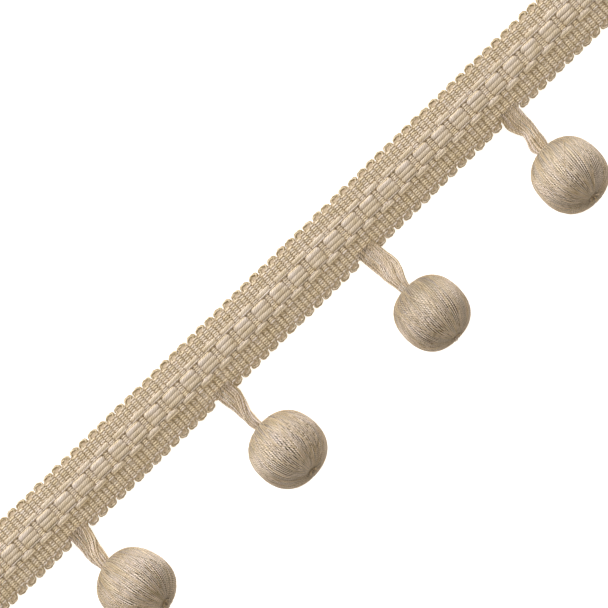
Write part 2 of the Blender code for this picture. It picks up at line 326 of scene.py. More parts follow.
def places_with(middles, offsets):
    """Places counted in picks: the same offsets round each middle, from cut end to cut end."""
    first, last = -0.5, PICKS - 0.5
    places = np.sort((np.asarray(middles, float)[:, None] + np.array(offsets)).ravel())
    inside = places[(places > first) & (places < last)]
    return np.concatenate(((first,), inside, (last,)))


def root_middle(number):
    """X in mm of the middle of a skein's root."""
    return (ROOT_PICKS[number] - MIDDLE_PICK) * PICK_PITCH


# Skins round paths


def unit(vectors):
    """The vectors of an array, each made 1 long."""
    return vectors / np.linalg.norm(vectors, axis=-1, keepdims=True)


def frames_along(path):
    """Unit side and up vectors at each point of paths: up is +Z made square to the path."""
    forward = unit(np.gradient(path, axis=1))
    up = unit(np.array((0.0, 0.0, 1.0)) - forward * forward[..., 2:])
    return np.cross(up, forward), up


def rings_at(path, side, up, across, raised):
    """Rings of corners round paths, from how far each corner lies across to the side and raised."""
    return path[:, :, None] + side[:, :, None] * across[..., None] + up[:, :, None] * raised[..., None]


def rings_round(path, half_width, half_height, sides, lobe=0.0, turn=0.0, square=1.0):
    """Rings of corners round paths of shape (tubes, samples, 3).

    A ring is an ellipse, or with square under 1 a fuller superellipse. It is drawn in by lobe at
    two waists, as two plies are, which wind round the path by turn, in radians."""
    half_width, half_height, lobe, turn = (
        np.broadcast_to(value, path.shape[:2])[..., None] for value in (half_width, half_height, lobe, turn)
    )
    even = round_turn(sides)
    lobed = 1 - lobe * (1 - np.abs(np.cos(even)))
    cosine, sine = np.cos(even + turn), np.sin(even + turn)
    across = np.sign(cosine) * np.abs(cosine) ** square * lobed * half_width
    raised = np.sign(sine) * np.abs(sine) ** square * lobed * half_height
    return rings_at(path, *frames_along(path), across, raised)


def lengths_along(path):
    """The distance in mm along each path to each of its points."""
    steps = np.linalg.norm(np.diff(path, axis=1), axis=-1)
    return np.concatenate((np.zeros((len(path), 1)), np.cumsum(steps, axis=1)), axis=1)


def tube_faces(rings, along, first):
    """Faces of tubes as corner lists: quads between rings, and a fan of triangles at each end.

    Returns the extra middle points of the fans, and for quads and fans their corners and UVs.
    U is the turn round the tube from 0 to 1, and V the length along it in mm."""
    tubes, samples, sides = rings.shape[:3]
    index = first + np.arange(tubes * samples * sides).reshape(tubes, samples, sides)
    after = np.roll(index, -1, axis=2)
    quads = np.stack((index[:, :-1], after[:, :-1], after[:, 1:], index[:, 1:]), axis=-1)
    middles = rings[:, [0, -1]].mean(axis=2)
    tips = first + index.size + np.arange(2 * tubes).reshape(tubes, 2, 1)
    from_corners = np.stack((after[:, 0], index[:, -1]), axis=1)
    to_corners = np.stack((index[:, 0], after[:, -1]), axis=1)
    fans = np.stack((from_corners, to_corners, np.broadcast_to(tips, to_corners.shape)), axis=-1)
    turns = np.arange(sides)[:, None] / sides
    quad_u = turns + np.array((0, 1, 1, 0)) / sides
    low, high = along[:, :-1], along[:, 1:]
    quad_v = np.stack((low, low, high, high), axis=-1)[:, :, None]
    quad_uv = np.stack(np.broadcast_arrays(quad_u, quad_v), axis=-1)
    fan_u, fan_v, _ = np.broadcast_arrays(turns, along[:, [0, -1], None, None], fans)
    fan_uv = np.stack((fan_u, fan_v), axis=-1)
    return middles.reshape(-1, 3), quads, fans, quad_uv.reshape(-1, 2), fan_uv.reshape(-1, 2)


def show(name, data):
    """A new object in the scene, of a mesh, a light or a camera."""
    thing = bpy.data.objects.new(name, data)
    bpy.context.scene.collection.objects.link(thing)
    return thing


def put_tubes(name, bundles, material):
    """One object of many closed tubes.

    A bundle is rings, lengths along, a tone for each tube and an amount of painted shade for each ring or
    corner, from 0 to 1. Tone is for a tube's colour, and the painted shade darkens a point, mostly where it
    lies low among its neighbours."""
    parts, count = [], 0
    for rings, along, tone, shade_depth in bundles:
        tubes, samples, sides = rings.shape[:3]
        middles, quads, fans, quad_uv, fan_uv = tube_faces(rings, along, count)
        shade_depth = np.asarray(shade_depth, float)
        shade_depth = shade_depth if shade_depth.ndim == 3 else shade_depth[..., None]
        shade_depth = np.broadcast_to(shade_depth, (tubes, samples, sides))
        tip_shade_depth = shade_depth[:, [0, -1], 0]
        parts += [
            (rings.reshape(-1, 3), quads, quad_uv, np.repeat(tone, samples * sides), shade_depth),
            (middles, fans, fan_uv, np.repeat(tone, 2), tip_shade_depth),
        ]
        count += tubes * (samples * sides + 2)
    points, faces, uvs, tones, shade_depths = zip(*parts)
    sizes = np.concatenate([np.full(face.size // face.shape[-1], face.shape[-1]) for face in faces])
    corners = np.concatenate([face.ravel() for face in faces])
    mesh = bpy.data.meshes.new(name)
    mesh.vertices.add(count)
    mesh.vertices.foreach_set("co", (np.concatenate(points) * MM).astype(np.float32).ravel())
    mesh.loops.add(len(corners))
    mesh.loops.foreach_set("vertex_index", corners.astype(np.int32))
    mesh.polygons.add(len(sizes))
    mesh.polygons.foreach_set("loop_start", (np.cumsum(sizes) - sizes).astype(np.int32))
    mesh.update(calc_edges=True)
    mesh.uv_layers.new(name="yarn").uv.foreach_set("vector", np.concatenate(uvs).astype(np.float32).ravel())
    for key, values in (("tone", tones), ("shade_depth", shade_depths)):
        values = np.concatenate([part.ravel() for part in values]).astype(np.float32)
        mesh.attributes.new(key, "FLOAT", "POINT").data.foreach_set("value", values)
    mesh.shade_smooth()
    mesh.materials.append(material)
    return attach(show(name, mesh), "root")


# Materials


class Nodes:
    """A material's node tree, with short calls that add a node and return its output."""

    def __init__(self, name):
        self.material = bpy.data.materials.new(name)
        self.material.use_nodes = True
        self.tree = self.material.node_tree
        self.shader = self.tree.nodes["Principled BSDF"]

    def put(self, socket, value):
        """Links an output to a socket, or sets the socket to any other value."""
        if isinstance(value, bpy.types.NodeSocket):
            self.tree.links.new(value, socket)
        else:
            socket.default_value = value

    def add(self, kind, *values, **named):
        """A node of a kind, with values or outputs for its inputs, in order or by name."""
        node = self.tree.nodes.new(kind)
        for key, value in (*enumerate(values), *named.items()):
            self.put(node.inputs[key], value)
        return node

    def math(self, operation, a, b=0.0, c=0.0, clamp=False):
        """One sum of up to three values or outputs, kept from 0 to 1 by clamp."""
        node = self.add("ShaderNodeMath", a, b, c)
        node.operation, node.use_clamp = operation, clamp
        return node.outputs[0]

    def times(self, a, b):
        """The product of two values or outputs."""
        return self.math("MULTIPLY", a, b)

    def plus(self, value, factor, rest, clamp=False):
        """A value times a factor, plus the rest."""
        return self.math("MULTIPLY_ADD", value, factor, rest, clamp)

    def past(self, value, start, span=1.0, clamp=False):
        """How far a value is past a start, in spans."""
        return self.plus(value, 1 / span, -start / span, clamp)

    def wave(self, turns, kind="COSINE"):
        """The cosine or sine of a number of turns."""
        return self.math(kind, self.times(turns, math.tau))

    def ring_place(self, angle, radius, height):
        """A point on a ring, so that noise has no seam where a UV map's turn starts again."""
        x, y = (self.times(self.math(kind, angle), radius) for kind in ("COSINE", "SINE"))
        return self.add("ShaderNodeCombineXYZ", x, y, height).outputs[0]

    def mix(self, share, low, high):
        """A colour between two colours."""
        node = self.tree.nodes.new("ShaderNodeMix")
        node.data_type = "RGBA"
        for index, value in ((0, share), (6, low), (7, high)):
            self.put(node.inputs[index], value)
        return node.outputs[2]

    def noise(self, vector, scale, detail=2.0, roughness=0.5):
        """Blender's noise, from 0 to 1."""
        node = self.add("ShaderNodeTexNoise", Vector=vector, Scale=scale, Detail=detail, Roughness=roughness)
        return node.outputs["Fac"]

    def attribute(self, name):
        """The number that the mesh keeps for each point under a name."""
        node = self.tree.nodes.new("ShaderNodeAttribute")
        node.attribute_name = name
        return node.outputs["Fac"]

    def place(self):
        """Object coordinates."""
        return self.add("ShaderNodeTexCoord").outputs["Object"]

    def yarn_map(self):
        """The UV map's turn round a yarn, from 0 to 1, and length along it in mm."""
        return self.add("ShaderNodeSeparateXYZ", self.add("ShaderNodeUVMap").outputs[0]).outputs[:2]

    def dyed(self, light, hue, colour, low, high):
        """Cotton from dark to pale by light, and from golden to a rosy grey by hue."""
        ends = []
        for factor in (low, high):
            tints = ([part * share for part, share in zip(colour, tint)] for tint in (GOLDEN, ROSY))
            ends.append(self.mix(hue, *(shaded(tint, factor) for tint in tints)))
        return self.mix(light, *ends)

    def finish(self, colour, height, bump, roughness, sheen):
        """Links colour and bump to the shader and sets what is the same all over."""
        relief = self.add("ShaderNodeBump", Strength=1.0, Distance=bump, Height=height)
        looks = (
            ("Base Color", colour), ("Normal", relief.outputs[0]), ("Roughness", roughness),
            ("Specular IOR Level", COTTON_SHINE), ("Sheen Weight", sheen),
            ("Sheen Roughness", SHEEN_ROUGHNESS),
        )
        for key, value in looks:
            self.put(self.shader.inputs[key], value)
        return self.material


GOLDEN = (1.05, 0.985, 0.80)
ROSY = (0.99, 0.985, 1.06)
COTTON_SHINE, YARN_SHEEN, SHEEN_ROUGHNESS = 0.12, 0.15, 0.45

# Spun yarns. Columns: plies; length of a ply's turn in mm; how fine the fibres are; bump in mm; how much
# darker the grooves between plies are, painted shade; how much darker the yarn is where it lies low among
# others, painted shade.
YARN_LOOKS = {
    "weft_cord": (4, 0.70, 2.2, 0.12, 0.70, 0.50),
    "fine_warp": (2, 0.90, 1.2, 0.03, 0.30, 0.45),
    "soft_float": (5, 0.56, 3.0, 0.03, 0.55, 0.30),
    "thin_float": (2, 0.80, 1.6, 0.04, 0.45, 0.30),
    "skein_yarn": (2, 2.00, 1.6, 0.05, 0.60, 0.85),
    "loose_thread": (2, 0.60, 1.0, 0.05, 0.90, 0.48),
}


def shaded(colour, factor):
    """A colour made lighter or darker. Darker cotton is a little warmer, as light passes between fibres."""
    warm = (factor, factor**1.15, factor**1.38) if factor < 1 else (factor, factor, factor**0.97)
    return (*(min(1.0, part * share) for part, share in zip(colour, warm)), 1.0)


def yarn_material(name, colour):
    """Spun cotton, on the yarn's own UV map and Object coordinates.

    Plies are cosine ridges that wind round the yarn, with painted shade in the grooves between them. Fibres
    are noise stretched along it. Broad, faint patches and the yarn's tone vary its colour, the tone's digits
    its hue. Where it lies low among others it is darker and more golden, painted shade."""
    plies, ply_length, fibres, bump, crease, shade = YARN_LOOKS[name]
    n = Nodes(name)
    turn, along = n.yarn_map()
    tone, shade_depth = n.attribute("tone"), n.attribute("shade_depth")
    wound = n.plus(turn, float(plies), n.plus(tone, 17.0, n.math("DIVIDE", along, ply_length)))
    ridge = n.plus(n.wave(wound), 0.5, 0.5)
    slant = n.plus(turn, math.tau, n.math("DIVIDE", along, ply_length / 2))
    fibre = n.noise(n.ring_place(slant, fibres, n.times(along, 1.1)), 1.0, 3.0, 0.7)
    patches = n.noise(n.place(), 420.0, 3.0, 0.6)
    # Painted shade in the grooves between plies, by crease.
    light = n.plus(ridge, crease, n.plus(fibre, 0.9, -0.31 - crease / 2))
    light = n.plus(tone, 0.36, n.plus(patches, 0.6, light))
    # Painted shade where the yarn lies low among others.
    light = n.plus(shade_depth, -shade, light)
    hue = n.plus(n.math("FRACT", n.times(tone, 7.31)), 0.7, -0.40)
    # Painted shade is also more golden.
    hue = n.plus(shade_depth, -0.6, n.plus(patches, 1.2, hue))
    colours = n.dyed(light, hue, colour, 0.50, 1.20)
    return n.finish(colours, n.plus(fibre, 0.5, ridge), bump * MM, 0.85, YARN_SHEEN)


# Bells of painted light and shade along a bead: painted shade towards the braid, a lighter and a darker band
# across its middle, painted light round its lower pole and painted shade in its hole. Columns: middle in mm
# from the pole nearest the braid; reach in mm; power; how much paler, below 0 darker.
PAINTED_LIGHT_BELLS = (
    (0.0, 12.0, 8.0, -0.34),
    (16.5, 2.5, 2.0, 0.10),
    (22.9, 2.2, 2.0, -0.09),
    (31.4, 5.5, 2.0, 0.30),
    (31.4, 1.5, 4.0, -0.55),
)
# From this far along a bead, in mm, and over this far, its grooves' painted shade and its contrasts grow.
CLEARER_FROM, CLEARER_OVER = 13.0, 8.0


def thread_material(name, colour, threads):
    """Fine thread wound side by side over a bead, on the bead's own UV map.

    U times the number of threads counts them: each has its own tone and hue, from white noise, a dark groove
    of painted shade on either side, from a cosine, and the slanted lines of its plies. Sines across the
    threads, in patches, are threads of another layer. Broad noise, stretched along the threads, gives the
    bands of the winding. From CLEARER_FROM mm away from the pole nearest the braid, the grooves grow darker
    and all contrasts stronger, painted shade. Bells of painted light and shade lie along it. Darker thread,
    painted shade included, is more golden."""
    n = Nodes(name)
    turn, along = n.yarn_map()
    bead = n.attribute("tone")
    count = n.times(turn, float(threads))
    # The dark groove between threads, painted shade.
    ridge = n.times(n.wave(count), -0.5)
    crossing = n.wave(n.plus(along, 1.4, n.times(count, 2 / 3)), "SINE")
    noise = n.tree.nodes.new("ShaderNodeTexWhiteNoise")
    noise.noise_dimensions = "1D"
    n.put(noise.inputs["W"], n.plus(bead, 961.0, n.math("FLOOR", count)))
    own = noise.outputs["Value"]
    plies = n.wave(n.plus(along, 1.7, n.math("ADD", count, own)), "SINE")
    angle = n.plus(turn, math.tau, n.times(bead, 50.0))
    round_place = n.ring_place(angle, 1.0, n.plus(along, 0.03, n.times(bead, 9.0)))
    bands = n.noise(round_place, 6.0, 3.0, 0.6)
    streaks = n.noise(round_place, 36.0, 2.0, 0.7)
    place = n.place()
    fuzz = n.noise(place, 1700.0, 2.0, 0.7)
    light = n.plus(own, 0.38, n.plus(bands, 0.30, -1.17))
    light = n.plus(streaks, 0.28, n.plus(plies, 0.50, light))
    # Painted shade: darker grooves and stronger contrasts away from the pole nearest the braid.
    clearer = n.past(along, CLEARER_FROM, CLEARER_OVER, clamp=True)
    light = n.plus(fuzz, 1.35, n.plus(ridge, n.plus(clearer, 1.2, 0.7), light))
    patch = n.plus(n.noise(place, 160.0, 1.0), 6.0, -2.4, clamp=True)
    light = n.plus(n.times(crossing, patch), 0.18, light)
    light = n.plus(light, n.plus(clearer, 0.8, 0.36), 0.65)
    # Painted light and shade along the bead, one bell at a time.
    for middle, reach, power, paler in PAINTED_LIGHT_BELLS:
        distance = n.math("POWER", n.past(along, middle, reach), power)
        light = n.plus(n.math("EXPONENT", n.times(distance, -1.0)), paler, light)
    # Darker is more golden, painted shade included.
    hue = n.plus(light, 0.7, n.plus(own, -0.6, n.plus(bands, 1.6, -0.45)))
    colours = n.dyed(light, hue, colour, 0.10, 1.40)
    height = n.plus(plies, 0.9, n.math("ADD", ridge, fuzz))
    return n.finish(colours, height, 0.13 * MM, 0.8, 0.06)


def ground_material(colour):
    """The shaded inside of the braid, seen only through the eyes of its edge loops: darker, warmer cotton,
    painted shade.
    """
    n = Nodes("braid_inside_shade")
    stretched = n.add("ShaderNodeMapping", Vector=n.place(), Scale=(900.0, 3500.0, 900.0)).outputs[0]
    fibre = n.noise(stretched, 1.0, 3.0, 0.6)
    # Painted shade: the cotton made darker and warmer.
    shaded_inside = [part * share for part, share in zip(colour, (1.0, 0.91, 0.80))]
    return n.finish(n.mix(fibre, shaded(shaded_inside, 0.72), shaded(shaded_inside, 1.0)), fibre, 0.05 * MM, 0.9, 0.2)


# The braid

# The weft, in mm. Keys 1 and -1 are the plain edge and the drops' edge, and strays are normal spreads.
PICK_LEAN = 0.018
STRAIGHT_REACH = {1: 7.0, -1: 7.1}
LOOP_MIDDLE = {1: 8.45, -1: 8.30}
LOOP_SKEW = {1: 0.25, -1: -0.4}
LOOP_PROUD = {1: 0.22, -1: 0.12}
LOOP_SINK = 0.10
LOOP_TILT = 0.12
LOOP_GAP = 0.03
WIDTH_STRAY, TIP_STRAY, SKEW_STRAY, SINK_STRAY = 0.03, 0.06, 0.08, 0.03
ROOT_LOOP_MIDDLE, ROOT_LOOP_TIP, ROOT_LOOP_SINK = 7.40, 7.65, 0.45
PICK_HALF_WIDTH, PICK_HALF_HEIGHT = 0.70, 0.42
LOOP_PLY_LENGTH = 2.3


def weft_height(y):
    """Height in mm of the weft's middle: a parabola across the braid, the crown, over an edge height."""
    return EDGE_WEFT_HEIGHT + CROWN * (1 - (y / (BRAID_WIDTH / 2)) ** 2)


def bound_lift(pick, y):
    """How far in mm the picks that bind the floats stand up between them.

    Bells across the braid with steep sides: a broad one in its middle, and a narrow one, two picks
    along, under the outer floats of either side."""
    middle = bell(y - 0.3, 2.3, 4) * (pick % 4 == 3)
    outer = (bell(y - 3.5, 0.8, 4) + bell(y + 2.8, 0.8, 4)) * (pick % 4 == 1)
    return BOUND_LIFT * (middle + outer)


def in_a_root(pick):
    """True for the picks whose drop edge has a skein's root in place of a loop."""
    return (np.abs(np.asarray(pick)[..., None] - ROOT_PICKS) < ROOT_HALF_PICKS).any(axis=-1)


def by_edge(edge, table):
    """The value of a table that has one for each edge, +1 the plain one and -1 the drops', as an array."""
    return np.where(edge < 0, table[-1], table[1])


def weft_path(rng, straight, side, arc):
    """The middle of the weft cord: straight picks joined by loops, at the drop edge after even picks.

    A loop leaves its pick, widens to its full width at LOOP_MIDDLE, and goes round half an ellipse.
    Where a skein has its root, it stays narrow and dips under the skein. Returns the path, and each
    point's share of being in an open loop."""

    def stray(spread):
        return rng.normal(0, spread, (PICKS, 1))

    cord = bpy.context.scene.fringe_braid.cord_width / MM
    picks = np.arange(PICKS)
    edge = np.where(picks % 2 == 0, -1.0, 1.0)[:, None]
    x = along_braid(picks.astype(float))[:, None]
    leave, arrive = by_edge(edge, STRAIGHT_REACH), by_edge(-edge, STRAIGHT_REACH)
    run_y = edge * (-arrive + (leave + arrive) * np.linspace(0, 1, straight))
    run_z = weft_height(run_y) + bound_lift(picks[:, None], run_y)
    run = np.stack((x + PICK_LEAN * run_y, run_y, run_z), axis=-1)
    x_next = np.append(x[1:, 0], x[-1, 0] + PICK_PITCH)[:, None]
    middle, half = (x + x_next) / 2, (x_next - x) / 2
    root = in_a_root(picks)[:, None] & (edge < 0)
    wide = np.where(root, half, PICK_PITCH - cord / 2 - LOOP_GAP + stray(WIDTH_STRAY))
    waist = np.where(root, ROOT_LOOP_MIDDLE, by_edge(edge, LOOP_MIDDLE))
    loose_tip = BRAID_WIDTH / 2 + by_edge(edge, LOOP_PROUD) - cord / 2 + stray(TIP_STRAY)
    tip = np.where(root, ROOT_LOOP_TIP, loose_tip)
    rise = np.linspace(0, 1, side + 1, endpoint=False)[1:]
    angle = np.linspace(0, math.pi, arc)
    out_across = half + (wide - half) * eased(rise)
    out_reach = leave + (waist - leave) * rise
    across = np.concatenate((-out_across, -wide * np.cos(angle), out_across[:, ::-1]), axis=1)
    reach = np.concatenate((out_reach, waist + (tip - waist) * np.sin(angle), out_reach[:, ::-1]), axis=1)
    out = (reach - leave) / (tip - leave)
    skew = by_edge(edge, LOOP_SKEW) + stray(SKEW_STRAY)
    loop_x = middle + across + np.where(root, 0.0, skew) * out**1.5 + PICK_LEAN * edge * leave
    sink = np.where(root, ROOT_LOOP_SINK, LOOP_SINK + stray(SINK_STRAY))
    tilt = np.where(root, 0.0, LOOP_TILT * np.linspace(-1, 1, across.shape[1]) * out)
    loop_z = np.maximum(weft_height(reach) - sink * out + tilt, cord / 2)
    loop = np.stack((loop_x, edge * reach, loop_z), axis=-1)
    path = np.concatenate((run, loop), axis=1).reshape(1, -1, 3)
    loose = np.where(root, 0.0, eased(out * 2.5))
    share = np.concatenate((np.zeros(run_y.shape), loose), axis=1).reshape(1, -1)
    kept = path.shape[1] - loop.shape[1]
    return path[:, :kept], share[:, :kept]


def make_weft(material):
    """The weft cord, flat under the warps, and two plies twisted together where it loops free."""
    rng = np.random.default_rng(SEED + 1)
    cord = bpy.context.scene.fringe_braid.cord_width / MM
    path, loops = weft_path(rng, straight=15, side=3, arc=13)
    along = lengths_along(path)
    turned = np.concatenate(([[0.0]], np.diff(along, axis=1) * (loops[:, 1:] > 0.05)), axis=1)
    turn = np.cumsum(turned, axis=1) * math.tau / LOOP_PLY_LENGTH
    half_width = PICK_HALF_WIDTH + (cord / 2 - PICK_HALF_WIDTH) * loops
    rings = rings_round(path, half_width, PICK_HALF_HEIGHT, 12, lobe=0.30 * loops, turn=turn)
    rings[..., 2] = np.maximum(rings[..., 2], 0.0)
    # Painted shade: some along the runs, more in the plain edge's loops, less in the drop edge's loops.
    shade_depth = 0.3 + np.where(path[..., 1] > 0, 0.50, -0.10) * loops
    return put_tubes("braid_weft", [(rings, along, np.array([0.6]), shade_depth)], material)


WARP_OFFSETS = (-0.42, -0.22, 0.0, 0.22, 0.42)
WARP_HALF = 0.16


def leaning_path(places, y, height):
    """Paths along the braid at places counted in picks, which lean as the picks do."""
    return np.stack((along_braid(places) + PICK_LEAN * y, y, height), axis=-1)


def make_warps(name, rows, material):
    """One strip of ribs: warps that go over one pick and under the next, out of step in turn.

    A warp's height is a cosine of its place, raised to a power so that it lies longer over a
    pick. It is wide and flat over and under a pick, and narrow where it crosses to the other face."""
    rng = np.random.default_rng(SEED + 2 + (rows[0] < 0))
    places = places_with(np.arange(PICKS), WARP_OFFSETS)
    y = np.array(rows)[:, None] + 0.04 * drift(rng, len(rows), places, 3.0)
    over = np.cos(math.pi * (places - (np.arange(len(rows)) % 2)[:, None]))
    level = np.sign(over) * np.abs(over) ** 0.85
    height = weft_height(y) + WARP_SWING * level + 0.03 * drift(rng, len(rows), places, 1.5)
    path = leaning_path(places, y, height)
    flat = np.abs(over) ** 0.8
    full = bpy.context.scene.fringe_braid.warp_width / MM / 2
    rings = rings_round(path, WARP_HALF + (full - WARP_HALF) * flat, WARP_HALF - 0.02 * flat, 6)
    # Painted shade where a warp goes down between and under the picks.
    shade_depth = np.clip(0.75 - 1.1 * np.maximum(over, 0.0), 0.0, 1.0)
    return put_tubes(name, [(rings, lengths_along(path), rng.uniform(0, 1, len(rows)), shade_depth)], material)


def picks_off(places, over):
    """Picks from each place to the nearest one of the picks that are over, modulo four."""
    off = (places - over) % 4
    return np.minimum(off, 4 - off)


FLOAT_DIP_BEFORE, FLOAT_DIP_AFTER = 0.16, 0.40
FLOAT_ARCH = 0.035


def float_bundle(rng, row, sides, square):
    """One cord that floats over three picks and dips under the fourth.

    It bends over the picks in a shallow parabola, and eases down through the weft at either end."""
    row_y, over, reach, half, tall, top, tone = row
    start, end = reach - FLOAT_DIP_BEFORE, reach + FLOAT_DIP_AFTER
    steps = (start * 0.55, start, start + 0.18, start + 0.36, end)
    offsets = (*(-step for step in reversed(steps)), 0.0, *steps, 2.0)
    places = places_with(np.arange(over - 4, PICKS + 4, 4), offsets)
    off = picks_off(places, over)[None]
    up = 1 - eased((off - start) / (end - start))
    arch = top - tall - FLOAT_ARCH * off**2 + 0.035 * drift(rng, 1, places, 4.0)
    height = UNDER_HEIGHT + (arch - UNDER_HEIGHT) * up
    y = row_y + 0.06 * drift(rng, 1, places, 2.5) * up
    path = leaning_path(places, y, height)
    plump = 0.95 + 0.07 * drift(rng, 1, places, 2.0)
    half_width = half * (0.72 + 0.28 * up) * plump
    rings = rings_round(path, half_width, tall * (0.55 + 0.45 * up), sides, square=square)
    # Painted shade, more where the float dips under a pick.
    return rings, lengths_along(path), np.array([tone]), 0.3 - 0.2 * up


def make_floats(name, rows, material, sides, square):
    """Rows of fat or thin cords along the middle of the braid."""
    rng = np.random.default_rng(SEED + 4 + sides)
    return put_tubes(name, [float_bundle(rng, row, sides, square) for row in rows], material)


BINDER_OFFSETS = (-1.2, -0.9, -0.62, -0.32, 0.0, 0.32, 0.62, 0.9, 1.2)
BINDER_HALF = 0.15


def binder_bundle(rng, rows, bound):
    """Fine warps under the floats, each of which comes up only over the pick that it binds."""
    places = places_with(np.arange(bound - 4, PICKS + 4, 4), BINDER_OFFSETS)
    y = np.array(rows)[:, None] + 0.05 * drift(rng, len(rows), places, 3.0)
    up = 1 - eased((picks_off(places, bound) - 0.12) / 0.74)
    height = weft_height(y) - WARP_SWING + (2 * WARP_SWING + BOUND_LIFT) * up
    path = leaning_path(places, y, height)
    rings = rings_round(path, BINDER_HALF + 0.05 * up, BINDER_HALF, 6)
    # Painted shade where the binder lies under the floats.
    return rings, lengths_along(path), rng.uniform(0.2, 1, len(rows)), 0.3 - 0.3 * up


def make_binders(material):
    """The binding warps of the middle floats and of the outer ones, two picks out of step."""
    rng = np.random.default_rng(SEED + 5)
    bundles = [binder_bundle(rng, rows, bound) for bound, rows in BINDERS.items()]
    return put_tubes("braid_binders", bundles, material)


# The cloth inside the braid, in mm. Its colour is painted shade, seen through the eyes of the edge loops.
GROUND_LOW = 0.25
GROUND_RIB = 0.12
GROUND_RISE = 0.04
GROUND_LIP = 0.12
GROUND_EDGES = {1: 8.38, -1: 8.22}
GROUND_SCALLOP = 0.36
GROUND_ROOT_EDGE = -7.1
GROUND_LINES = 17


def make_ground(material):
    """The flat cloth inside the braid, coloured as painted shade where it shows through the loops' eyes: one
    thin slab that follows the crown.

    Its edges are cosines, wide in the loops and narrow between them, and thicken to a lip there.
    Its drop edge steps in at each root. Its underside has a rib for each pick, a cosine along it."""
    places = places_with(np.arange(PICKS), (-0.25, 0.0, 0.25, 0.5))
    high_edge = GROUND_EDGES[1] + GROUND_SCALLOP * np.cos(math.pi * (places - 1.5))
    loose_edge = -GROUND_EDGES[-1] - GROUND_SCALLOP * np.cos(math.pi * (places - 0.5))
    low_edge = np.where(in_a_root(places), GROUND_ROOT_EDGE, loose_edge)
    x = along_braid(places)[:, None]
    shares = np.linspace(0, 1, GROUND_LINES)[None]
    y = high_edge[:, None] + (low_edge - high_edge)[:, None] * shares
    lip = GROUND_LIP * eased((np.abs(y) - 7.2) / 0.6)
    face = np.stack((x + 0 * y, y, weft_height(y) + GROUND_RISE + lip), axis=-1)
    back = face[:, [-1, 0]].copy()
    back[..., 2] = GROUND_LOW - GROUND_RIB * np.cos(math.tau * places)[:, None]
    rings = np.concatenate((face, back), axis=1)[None]
    along = (x[:, 0] - x[0, 0])[None]
    piece = put_tubes("braid_ground", [(rings, along, np.array([0.5]), 0.0)], material)
    piece.data.set_sharp_from_angle(angle=math.radians(40))
    return piece


# The drops


def bead_turning(row):
    """The turn that swings a bead's lower pole sideways and tips it up off the surface."""
    swing = Matrix.Rotation(math.radians(row["turn"]), 3, "Z")
    tip = Matrix.Rotation(math.radians(-row["nod"]), 3, "X")
    return swing @ tip


def bead_middle(number):
    """The middle of a bead in mm: over its box's middle, and as far under its top as its skin reaches."""
    row = BEADS[number]
    low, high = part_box(f"bead_{number + 1}")
    angle = np.radians(np.arange(0, 181))
    rise = (bead_radius(angle, row) * np.sin(angle + math.radians(row["nod"]))).max()
    return Vector(((low.x + high.x) / 2 / MM, (low.y + high.y) / 2 / MM, high.z / MM - rise))


def bead_radius(angle, row):
    """Distance in mm from a bead's middle to its skin, at angles from its pole nearest the braid.

    An ellipse of revolution, full at its shoulders by a fourfold cosine, less a bell-shaped dimple
    at each pole: the wide one of the skein's seat, and the small, deep one of the hole in a hollow."""
    side = row["diameter"] / 2
    egg = 1 / np.hypot(np.sin(angle) / side, np.cos(angle) / (side * row["polar"]))
    seat = SEAT_DIMPLE_DEPTH * bell(angle, SEAT_DIMPLE_SPREAD)
    hole = HOLE_DEPTH * bell(math.pi - angle, HOLE_SPREAD)
    hollow = HOLLOW_DEPTH * bell(math.pi - angle, HOLLOW_SPREAD)
    return egg * (1 - BEAD_SHOULDER * np.cos(4 * angle)) - seat - hole - hollow


def bead_points(number, lift, angle, around):
    """Points at a lift in mm over a bead's skin, an angle from its pole nearest the braid and a turn.

    None goes under the surface, so the bead has a small flat spot."""
    row = BEADS[number]
    radius = bead_radius(angle, row) + lift
    across, rise = radius * np.sin(angle), radius * np.cos(angle)
    local = np.stack((across * np.sin(around), rise * np.ones_like(around), across * np.cos(around)), axis=-1)
    points = local @ np.array(bead_turning(row)).T + np.array(bead_middle(number))
    points[..., 2] = np.maximum(points[..., 2], 0.0)
    return points


def winding(rng, number, threads):
    """A bead's wound skin: a ridge for each thread, from pole to pole.

    Rings lie closer near the poles. A thread takes three columns, a groove and two on its crest.
    Threads lean a little, wander in bands, and differ in height. A low swell makes the ball
    uneven, and pleats run into the lower pole's hole."""
    share = np.linspace(0, 1, BEAD_RINGS)
    angle = math.pi * (share - POLE_CROWDING * np.sin(math.tau * share) / math.tau)
    angle = np.clip(angle, BEAD_END, math.pi - BEAD_END)[:, None]
    columns = THREAD_COLUMNS * threads
    even = round_turn(columns)[None]
    phases = rng.uniform(0, math.tau, 7)
    swell = sum(np.sin(k * even + phases[k] + 0.6 * k * np.cos(angle)) / k for k in range(2, 6))
    bands = np.sin(9 * even + phases[0] + 2 * angle) + np.sin(14 * even + phases[1] - 3 * angle)
    around = even + THREAD_LEAN * np.cos(angle) + THREAD_WANDER * bands * np.sin(angle)
    crest = np.where(np.arange(columns) % THREAD_COLUMNS == 0, -1.0, 0.5)[None]
    own = np.repeat(rng.normal(0, THREAD_STRAY, threads), THREAD_COLUMNS)[None]
    ridges = np.sin(angle) ** 0.6 * (THREAD_RIDGE * crest + own)
    from_hole = math.pi - angle
    pleats = np.sin(11 * even + phases[2]) + 0.7 * np.sin(17 * even + phases[3])
    pleats = PLEAT_HEIGHT * pleats * bell(from_hole - PLEAT_MIDDLE, PLEAT_REACH)
    lift = ridges + BALL_SWELL * swell * np.sin(angle) + pleats
    rings = bead_points(number, lift, angle, around)[None]
    along = (angle.ravel() * BEADS[number]["diameter"] / 2)[None]
    # Shade round the hole, kept on the mesh; the skin's material reads only tone, so it is not drawn.
    shade_depth = bell(from_hole.ravel(), HOLE_SHADE_REACH)[None]
    return np.roll(rings[:, :, ::-1], 1, axis=2), along, shade_depth


